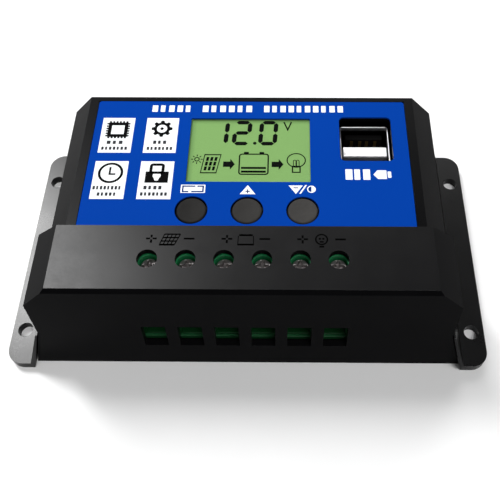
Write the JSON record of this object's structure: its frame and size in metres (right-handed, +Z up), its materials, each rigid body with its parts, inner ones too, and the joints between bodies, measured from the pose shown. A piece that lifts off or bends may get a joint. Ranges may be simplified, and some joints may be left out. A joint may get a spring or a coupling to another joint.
{
  "type": "solar charge controller",
  "caption": "Flanged black solar charge controller: blue label, green display, push buttons, recessed USB sockets and a raised hood over screw terminals.",
  "frame": {"origin": "middle of the footprint, on the surface that the base tray stands on", "axes": "+Z up out of the label, +X to the right for somebody facing the wire side, -Y towards the wire side"},
  "size_m": [0.1334, 0.0752, 0.035],
  "materials": {
    "cover_plastic": "semi-gloss black moulded ABS with a very fine grain",
    "tray_plastic": "semi-gloss black moulded ABS",
    "label_film": "satin blue printed polycarbonate film with white and black artwork",
    "clear_window": "polished clear acrylic",
    "lcd_glass": "green-yellow backlit liquid crystal cell",
    "light_guide": "milky white diffuser",
    "frame_plastic": "black nylon",
    "button_plastic": "satin dark grey moulded cap",
    "terminal_plastic": "green glass-filled nylon",
    "steel": "nickel-plated steel",
    "brass": "plated brass",
    "tinned_metal": "tinned copper alloy",
    "circuit_board": "green solder-masked glass-epoxy laminate",
    "chip_resin": "black moulded resin",
    "capacitor_sleeve": "aluminium can in a shrunk plastic sleeve",
    "ferrite": "ferrite drum core with its winding"
  },
  "bodies": {
    "housing": {"base_plate": "tray_plastic", "top_cover": "cover_plastic", "cover_screw_1": "steel", "cover_screw_2": "steel", "cover_screw_3": "steel", "cover_screw_4": "steel", "board_screw_1": "steel", "board_screw_2": "steel", "board_screw_3": "steel", "board_screw_4": "steel", "terminal_block": "terminal_plastic", "contact_bar_1": "tinned_metal", "contact_bar_2": "tinned_metal", "contact_bar_3": "tinned_metal", "contact_bar_4": "tinned_metal", "contact_bar_5": "tinned_metal", "contact_bar_6": "tinned_metal", "face_label": "label_film", "lcd_window": "clear_window", "lcd_glass": "lcd_glass", "lcd_light_guide": "light_guide", "lcd_holder": "frame_plastic", "lcd_pin_row": "tinned_metal", "button_switch_menu": "chip_resin", "button_switch_up": "chip_resin", "button_switch_down": "chip_resin", "usb_shell": "steel", "usb_divider": "steel", "usb_tongue_front": "frame_plastic", "usb_tongue_rear": "frame_plastic", "main_board": "circuit_board", "power_transistor_1": "chip_resin", "power_transistor_2": "chip_resin", "power_transistor_3": "chip_resin", "power_transistor_4": "chip_resin", "controller_chip": "chip_resin", "regulator_chip": "chip_resin", "schottky_diode": "chip_resin", "capacitor_1": "capacitor_sleeve", "capacitor_2": "capacitor_sleeve", "power_inductor": "ferrite"},
    "menu_button": {"button_cap_menu": "button_plastic", "button_plunger_menu": "frame_plastic"},
    "up_button": {"button_cap_up": "button_plastic", "button_plunger_up": "frame_plastic"},
    "down_button": {"button_cap_down": "button_plastic", "button_plunger_down": "frame_plastic"},
    "wire_screw_1": {"terminal_screw_1": "steel"},
    "wire_screw_2": {"terminal_screw_2": "steel"},
    "wire_screw_3": {"terminal_screw_3": "steel"},
    "wire_screw_4": {"terminal_screw_4": "steel"},
    "wire_screw_5": {"terminal_screw_5": "steel"},
    "wire_screw_6": {"terminal_screw_6": "steel"},
    "clamp_1": {"clamp_cage_1": "brass"},
    "clamp_2": {"clamp_cage_2": "brass"},
    "clamp_3": {"clamp_cage_3": "brass"},
    "clamp_4": {"clamp_cage_4": "brass"},
    "clamp_5": {"clamp_cage_5": "brass"},
    "clamp_6": {"clamp_cage_6": "brass"}
  },
  "joints": [
    {"name": "menu_button_press", "type": "slide", "parent": "housing", "child": "menu_button", "axis": [0, 0, -1], "range_m": [0, 0.00045], "stiffness_N_per_m": 1500, "springref_m": -0.0006},
    {"name": "up_button_press", "type": "slide", "parent": "housing", "child": "up_button", "axis": [0, 0, -1], "range_m": [0, 0.00045], "stiffness_N_per_m": 1500, "springref_m": -0.0006},
    {"name": "down_button_press", "type": "slide", "parent": "housing", "child": "down_button", "axis": [0, 0, -1], "range_m": [0, 0.00045], "stiffness_N_per_m": 1500, "springref_m": -0.0006},
    {"name": "wire_screw_1_turn", "type": "hinge", "parent": "housing", "child": "wire_screw_1", "pos_m": [-0.02388, -0.0221, 0.03], "axis": [0, 0, -1], "range_deg": [0, 3286]},
    {"name": "wire_screw_2_turn", "type": "hinge", "parent": "housing", "child": "wire_screw_2", "pos_m": [-0.01432, -0.0221, 0.03], "axis": [0, 0, -1], "range_deg": [0, 3286]},
    {"name": "wire_screw_3_turn", "type": "hinge", "parent": "housing", "child": "wire_screw_3", "pos_m": [-0.00477, -0.0221, 0.03], "axis": [0, 0, -1], "range_deg": [0, 3286]},
    {"name": "wire_screw_4_turn", "type": "hinge", "parent": "housing", "child": "wire_screw_4", "pos_m": [0.00477, -0.0221, 0.03], "axis": [0, 0, -1], "range_deg": [0, 3286]},
    {"name": "wire_screw_5_turn", "type": "hinge", "parent": "housing", "child": "wire_screw_5", "pos_m": [0.01432, -0.0221, 0.03], "axis": [0, 0, -1], "range_deg": [0, 3286]},
    {"name": "wire_screw_6_turn", "type": "hinge", "parent": "housing", "child": "wire_screw_6", "pos_m": [0.02388, -0.0221, 0.03], "axis": [0, 0, -1], "range_deg": [0, 3286]},
    {"name": "clamp_1_lift", "type": "slide", "parent": "housing", "child": "clamp_1", "axis": [0, 0, 1], "range_m": [0, 0.00547]},
    {"name": "clamp_2_lift", "type": "slide", "parent": "housing", "child": "clamp_2", "axis": [0, 0, 1], "range_m": [0, 0.00547]},
    {"name": "clamp_3_lift", "type": "slide", "parent": "housing", "child": "clamp_3", "axis": [0, 0, 1], "range_m": [0, 0.00547]},
    {"name": "clamp_4_lift", "type": "slide", "parent": "housing", "child": "clamp_4", "axis": [0, 0, 1], "range_m": [0, 0.00547]},
    {"name": "clamp_5_lift", "type": "slide", "parent": "housing", "child": "clamp_5", "axis": [0, 0, 1], "range_m": [0, 0.00547]},
    {"name": "clamp_6_lift", "type": "slide", "parent": "housing", "child": "clamp_6", "axis": [0, 0, 1], "range_m": [0, 0.00547]}
  ],
  "couplings": [
    {"joint": "wire_screw_1_turn", "follows": "clamp_1_lift", "rad_per_m": 10472},
    {"joint": "wire_screw_2_turn", "follows": "clamp_2_lift", "rad_per_m": 10472},
    {"joint": "wire_screw_3_turn", "follows": "clamp_3_lift", "rad_per_m": 10472},
    {"joint": "wire_screw_4_turn", "follows": "clamp_4_lift", "rad_per_m": 10472},
    {"joint": "wire_screw_5_turn", "follows": "clamp_5_lift", "rad_per_m": 10472},
    {"joint": "wire_screw_6_turn", "follows": "clamp_6_lift", "rad_per_m": 10472}
  ]
}
